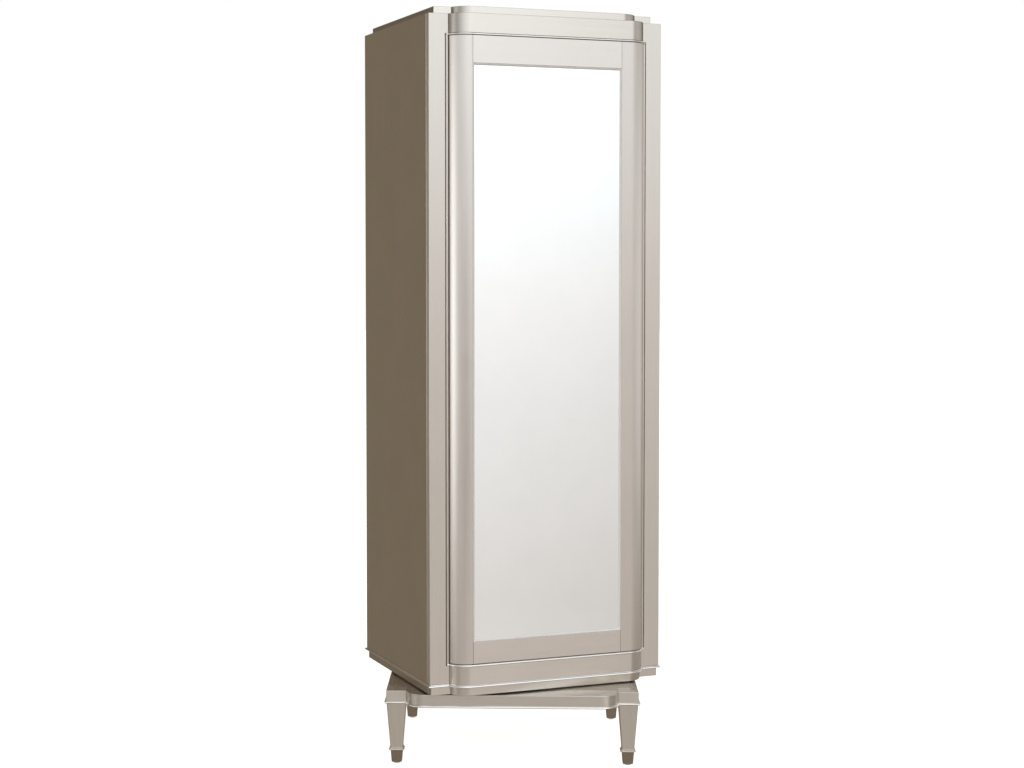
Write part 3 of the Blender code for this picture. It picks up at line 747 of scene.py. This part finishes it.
def make_friezes():
    plan = rail_plan(INNER - GAP, FACE, BULGE, ARC, FACE + POST_DEPTH)
    for where, material, edge in (("upper", FRIEZE, SOFT_EDGE), ("lower", ALONG, FINE_EDGE)):
        low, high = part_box(where + "_frieze")
        frieze = prism("frieze_" + where, plan, low.z, high.z, material, edge)
        put(frieze, "case", "champagne_paint", where + "_frieze")
    for where, proud in (("head", HEAD_PROUD), ("sill", SILL_PROUD)):
        low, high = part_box(where + "_bead")
        bead = arc_bead("bead_" + where, proud, low.z, high.z)
        put(bead, "case", "silver_bead", where + "_bead")


def make_cap():
    face = FACE + CAP_SETBACK
    back = BACK - CAP_BACK_SETBACK
    plan = outline(0.0, HALF - CAP_SETBACK, face, back, CAP_POST, BULGE, ARC)
    low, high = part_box("cap")
    put(prism("cap_board", plan, low.z, high.z, CAP, CAP_EDGE), "case", "champagne_paint", "cap")


def make_bottom_moulding():
    low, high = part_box("bottom_moulding")
    nose = (low.z + high.z) / 2
    foot = nose - CASE_MOULDING_DROP
    root = CASE_MOULDING_ROOT
    ring = moulding("moulding_bottom", case_plan, root, high.z, nose, UNDER_CASE, foot)
    put(ring, "case", "silver_bead", "bottom_moulding")


def make_plinth():
    low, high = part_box("plinth_front")
    front = front_curve(INNER, FACE, BULGE, ARC, -PLINTH_SETBACK)
    half = HALF - PLINTH_SETBACK
    line = flat_ends(front, half, FACE + PLINTH_SETBACK)
    plan = [(-half, high.y), *line, (half, high.y)]
    piece = prism("plinth_board_front", plan, low.z, high.z, PLINTH, PLINTH_EDGE)
    put(piece, "case", "champagne_paint", "plinth_front")
    for side in ("left", "right", "back"):
        low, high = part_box("plinth_" + side)
        piece = board("plinth_board_" + side, low, high, PLINTH, PLINTH_EDGE)
        put(piece, "case", "champagne_paint", "plinth_" + side)


def make_case():
    for side, sign in (("left", -1), ("right", 1)):
        make_post(side, sign)
        make_cock_bead(side, sign)
    make_friezes()
    make_cap()
    make_bottom_moulding()
    for side in ("left", "right"):
        low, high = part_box(side + "_panel")
        panel = board("side_panel_" + side, low, high, SIDE, FINE_EDGE)
        put(panel, "case", "champagne_paint", side + "_panel")
    make_plinth()


# ---------------------------------------------------------------- door
def make_stiles(front):
    """Two stiles, each with the breakfront's bend outside and a straight edge inside."""
    limit = INNER - DOOR_GAP
    curve = [(x, y) for x, y in front_curve(INNER, FACE, BULGE, ARC) if abs(x) < limit]

    low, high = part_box("left_stile")
    bend = [point for point in curve if point[0] < high.x - STILE_CLEAR]
    edge = bend[0][1] + STILE_EASE
    plan = [(-limit, high.y), (-limit, edge), *bend, (high.x, front), (high.x, high.y)]
    stile = prism("door_stile_left", plan, low.z, high.z, DOOR_UP, DOOR_EDGE)
    put(stile, "door", "champagne_paint", "left_stile")

    low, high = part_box("right_stile")
    bend = [point for point in curve if point[0] > low.x + STILE_CLEAR]
    edge = bend[-1][1] + STILE_EASE
    plan = [(low.x, high.y), (low.x, front), *bend, (limit, edge), (limit, high.y)]
    stile = prism("door_stile_right", plan, low.z, high.z, DOOR_UP, DOOR_EDGE)
    put(stile, "door", "champagne_paint", "right_stile")


def make_lip(front):
    """The lip round the mirror: a narrow flat, then a bevel down to the glass."""
    low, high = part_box("mirror_trim")
    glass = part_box("mirror")[0].y
    section = (
        (0.0, front + LIP_OUTER_SINK),
        (LIP_FLAT, front + LIP_FLAT_SINK),
        (LIP_WIDTH, glass - LIP_OVER_GLASS),
        (LIP_WIDTH, glass),
        (0.0, glass),
    )
    rings = []
    for inset, y in section:
        left, right = low.x + inset, high.x - inset
        lower, upper = low.z + inset, high.z - inset
        rings.append([(left, y, lower), (right, y, lower), (right, y, upper), (left, y, upper)])
    lip = loft("mirror_lip", rings, LIP, closed_loop=True, sharp=LIP_SHARP)
    put(lip, "door", "champagne_paint", "mirror_trim")


def make_door():
    front = FACE - BULGE
    make_stiles(front)
    for rail in ("top", "bottom"):
        low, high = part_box(rail + "_rail")
        piece = board("door_rail_" + rail, low, high, DOOR_ALONG, DOOR_EDGE)
        put(piece, "door", "champagne_paint", rail + "_rail")
    make_lip(front)


# ---------------------------------------------------------------- base
def rounded_square(half, radius, z, centre):
    points = []
    for corner in range(4):
        start = math.pi / 2 * corner
        cx = (half - radius) * (1 if corner in (0, 3) else -1)
        cy = (half - radius) * (1 if corner in (0, 1) else -1)
        for step in range(CORNER_POINTS):
            angle = start + math.pi / 2 * step / (CORNER_POINTS - 1)
            x = centre[0] + cx + radius * math.cos(angle)
            y = centre[1] + cy + radius * math.sin(angle)
            points.append((x, y, z))
    return points


def square_loft(name, sections, levels, centre, material):
    """A piece with rounded square sections, each at its height above one of the levels."""
    rings = []
    for half, radius, level, height in sections:
        rings.append(rounded_square(half, radius, levels[level] + height, centre))
    return loft(name, rings, material)


def make_leg(where, x, y):
    """A leg with its square head and taper, the ring under it, the ferrule and the glide."""
    centre = (x, y)
    low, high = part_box(where + "_ring")
    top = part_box("base_top")[1].z
    levels = {"ring": high.z, "block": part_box("base_bead")[0].z, "top": top}
    leg = square_loft(where + "_leg_turned", LEG_SECTIONS, levels, centre, UP)
    put_turned(leg, "champagne_paint", where + "_leg")
    ring = square_loft(where + "_leg_ring", RING_SECTIONS, {"low": low.z}, centre, UP)
    put_turned(ring, "champagne_paint", where + "_ring")

    low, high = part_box(where + "_ferrule")
    levels = {"low": low.z, "high": high.z}
    cup = square_loft(where + "_ferrule_cup", FERRULE_SECTIONS, levels, centre, BRONZE)
    put_turned(cup, "bronze", where + "_ferrule")

    low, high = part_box(where + "_glide")
    angles = [2 * math.pi * step / GLIDE_SIDES for step in range(GLIDE_SIDES)]
    rings = []
    for radius, z in (*GLIDE_DOME, (GLIDE_RADIUS, high.z)):
        rings.append([(x + radius * math.cos(a), y + radius * math.sin(a), z) for a in angles])
    put_turned(loft(where + "_glide_dome", rings, NYLON), "nylon", where + "_glide")


def make_aprons():
    low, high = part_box("front_apron")
    half = HALF - BLOCK - GAP
    plan = rail_plan(half, BASE_FACE, BASE_BULGE, BASE_ARC, BASE_FACE + FRONT_APRON)
    piece = prism("apron_front", plan, low.z, high.z, ALONG, FRONT_APRON_EDGE)
    put_turned(piece, "champagne_paint", "front_apron")

    inner = HALF - APRON
    start = BASE_FACE + BLOCK + GAP
    reach = inner - BLOCK - 2 * GAP
    corners = {
        "left": ((-HALF, start), (-inner, BASE_BACK)),
        "right": ((inner, start), (HALF, BASE_BACK)),
        "back": ((-reach, BASE_BACK - APRON), (reach, BASE_BACK)),
    }
    for side, (near, far) in corners.items():
        piece = board("apron_" + side, (*near, low.z), (*far, high.z), ALONG, SOFT_EDGE)
        put_turned(piece, "champagne_paint", side + "_apron")


def make_base():
    across = HALF - BLOCK_HALF
    front = BASE_FACE + BLOCK_HALF
    rear = BASE_BACK - BLOCK_HALF
    make_leg("front_left", -across, front)
    make_leg("front_right", across, front)
    make_leg("rear_left", -across + REAR_INSET, rear)
    make_leg("rear_right", across - REAR_INSET, rear)
    make_aprons()

    low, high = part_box("base_bead")
    nose = low.z + BASE_MOULDING_RISE
    root = BASE_MOULDING_ROOT
    ring = moulding("moulding_base", base_plan, root, high.z, nose, UNDER_BASE, low.z)
    put_turned(ring, "silver_bead", "base_bead")


# ---------------------------------------------------------------- carried-over nodes
def dress(material, *names):
    for name in names:
        data = NODES[name].data
        data.materials.clear()
        data.materials.append(material)


def dress_nodes():
    dress(MIRROR, "mirror")
    dress(TOP, "base_top")
    dress(INSIDE, "back_panel", "case_top", "case_floor", "shelf_1", "shelf_2", "shelf_3")
    dress(INSIDE, "bearing_packer")
    dress(STEEL, "bearing_lower_plate", "bearing_upper_plate")
    dress(STEEL, "top_pivot", "bottom_pivot", "strike_plate")
    dress(BOARD, "mirror_backing")
    dress(NYLON, "latch_housing", "latch_plunger")


# ---------------------------------------------------------------- stage
def round_share(degrees):
    """An azimuth as a share of the turn, with straight ahead in the middle."""
    return degrees / 360.0 + 0.5


def rise_share(degrees):
    """An elevation as a share of the way up, with the horizon in the middle."""
    return degrees / 180.0 + 0.5


def round_band(tree, azimuth, low, high, soft):
    return band(tree, azimuth, round_share(low), round_share(high), soft / 360)


def rise_band(tree, elevation, low, high, soft):
    return band(tree, elevation, rise_share(low), rise_share(high), soft / 180)


def scaled(tree, colour, amount):
    """A colour times an amount; the colour is a socket or plain."""
    node = tree.nodes.new("ShaderNodeVectorMath")
    node.operation = "SCALE"
    if isinstance(colour, tuple):
        node.inputs[0].default_value = colour
    else:
        tree.links.new(colour, node.inputs[0])
    tree.links.new(amount, node.inputs["Scale"])
    return node.outputs["Vector"]


def studio_colour(tree):
    """The light from every direction: the lamp, less its dim stretch, and the two cards."""
    coords = tree.nodes.new("ShaderNodeTexCoord")
    split = tree.nodes.new("ShaderNodeSeparateXYZ")
    tree.links.new(coords.outputs["Generated"], split.inputs["Vector"])
    x, y, z = split.outputs
    azimuth = math_node(tree, "ARCTAN2", x, times(tree, y, -1.0))
    azimuth = remap(tree, azimuth, -math.pi, math.pi)
    elevation = remap(tree, math_node(tree, "ARCSINE", z), -math.pi / 2, math.pi / 2)

    stops = [(round_share(a), (v / FRONT, v / FRONT, v / FRONT)) for a, v in AROUND]
    around = ramp(tree, azimuth, stops)
    stops = [(rise_share(a), tuple(c * FRONT / STRENGTH for c in v)) for a, v in RISE]
    lamp = mix_colours(tree, around, ROOM, ramp(tree, elevation, stops))

    dim = times(
        tree, round_band(tree, azimuth, *DIM_AROUND), rise_band(tree, elevation, *DIM_RISE)
    )
    dim = math_node(tree, "SUBTRACT", 1.0, times(tree, dim, DIM_SHARE))
    sides = [round_band(tree, azimuth, *card) for card in (LEFT_CARD, RIGHT_CARD)]
    cards = blend(tree, sides, CARD_LIGHTS)
    cards = times(tree, cards, rise_band(tree, elevation, *CARD_RISE))

    total = tree.nodes.new("ShaderNodeVectorMath")
    tree.links.new(scaled(tree, lamp, dim), total.inputs[0])
    tree.links.new(scaled(tree, CARD_TINT, cards), total.inputs[1])
    return total.outputs["Vector"]


def make_world():
    """The studio lights the piece, and the camera sees plain white behind it."""
    world = bpy.data.worlds.new("studio")
    bpy.context.scene.world = world
    world.use_nodes = True
    tree = world.node_tree
    tree.nodes.clear()
    out = tree.nodes.new("ShaderNodeOutputWorld")
    studio = tree.nodes.new("ShaderNodeBackground")
    tree.links.new(studio_colour(tree), studio.inputs["Color"])
    studio.inputs["Strength"].default_value = STRENGTH
    white = tree.nodes.new("ShaderNodeBackground")
    white.inputs["Color"].default_value = (1.0, 1.0, 1.0, 1.0)
    seen = tree.nodes.new("ShaderNodeLightPath")
    choose = tree.nodes.new("ShaderNodeMixShader")
    tree.links.new(seen.outputs["Is Camera Ray"], choose.inputs["Fac"])
    tree.links.new(studio.outputs["Background"], choose.inputs[1])
    tree.links.new(white.outputs["Background"], choose.inputs[2])
    tree.links.new(choose.outputs["Shader"], out.inputs["Surface"])


def make_floor():
    """A pale disc for the camera alone: it throws no light or shadow, and isn't reflected."""
    bm = bmesh.new()
    bmesh.ops.create_circle(bm, cap_ends=True, segments=FLOOR_SIDES, radius=FLOOR_RADIUS)
    floor = finish_mesh("floor", bm, PAPER)
    floor.location.z = FLOOR_LEVEL
    floor.visible_glossy = False
    floor.visible_diffuse = False
    floor.visible_shadow = False


def make_camera():
    data = bpy.data.cameras.new("camera")
    data.sensor_width = SENSOR_WIDTH
    data.lens = LENS
    data.shift_x = SHIFT_X
    data.shift_y = SHIFT_Y
    data.clip_end = CLIP_END
    camera = bpy.data.objects.new("camera", data)
    bpy.context.scene.collection.objects.link(camera)
    level = math.cos(CAMERA_PITCH)
    forward = Vector(
        (math.sin(CAMERA_YAW) * level, math.cos(CAMERA_YAW) * level, -math.sin(CAMERA_PITCH))
    )
    turn = forward.to_track_quat("-Z", "Y").to_matrix().to_4x4()
    roll = Matrix.Rotation(CAMERA_ROLL, 4, "Z")
    camera.matrix_world = Matrix.Translation(CAMERA_PLACE) @ turn @ roll
    bpy.context.scene.camera = camera


make_case()
make_door()
make_base()
dress_nodes()
make_world()
make_floor()
make_camera()
bpy.context.scene.view_settings.view_transform = "Standard"
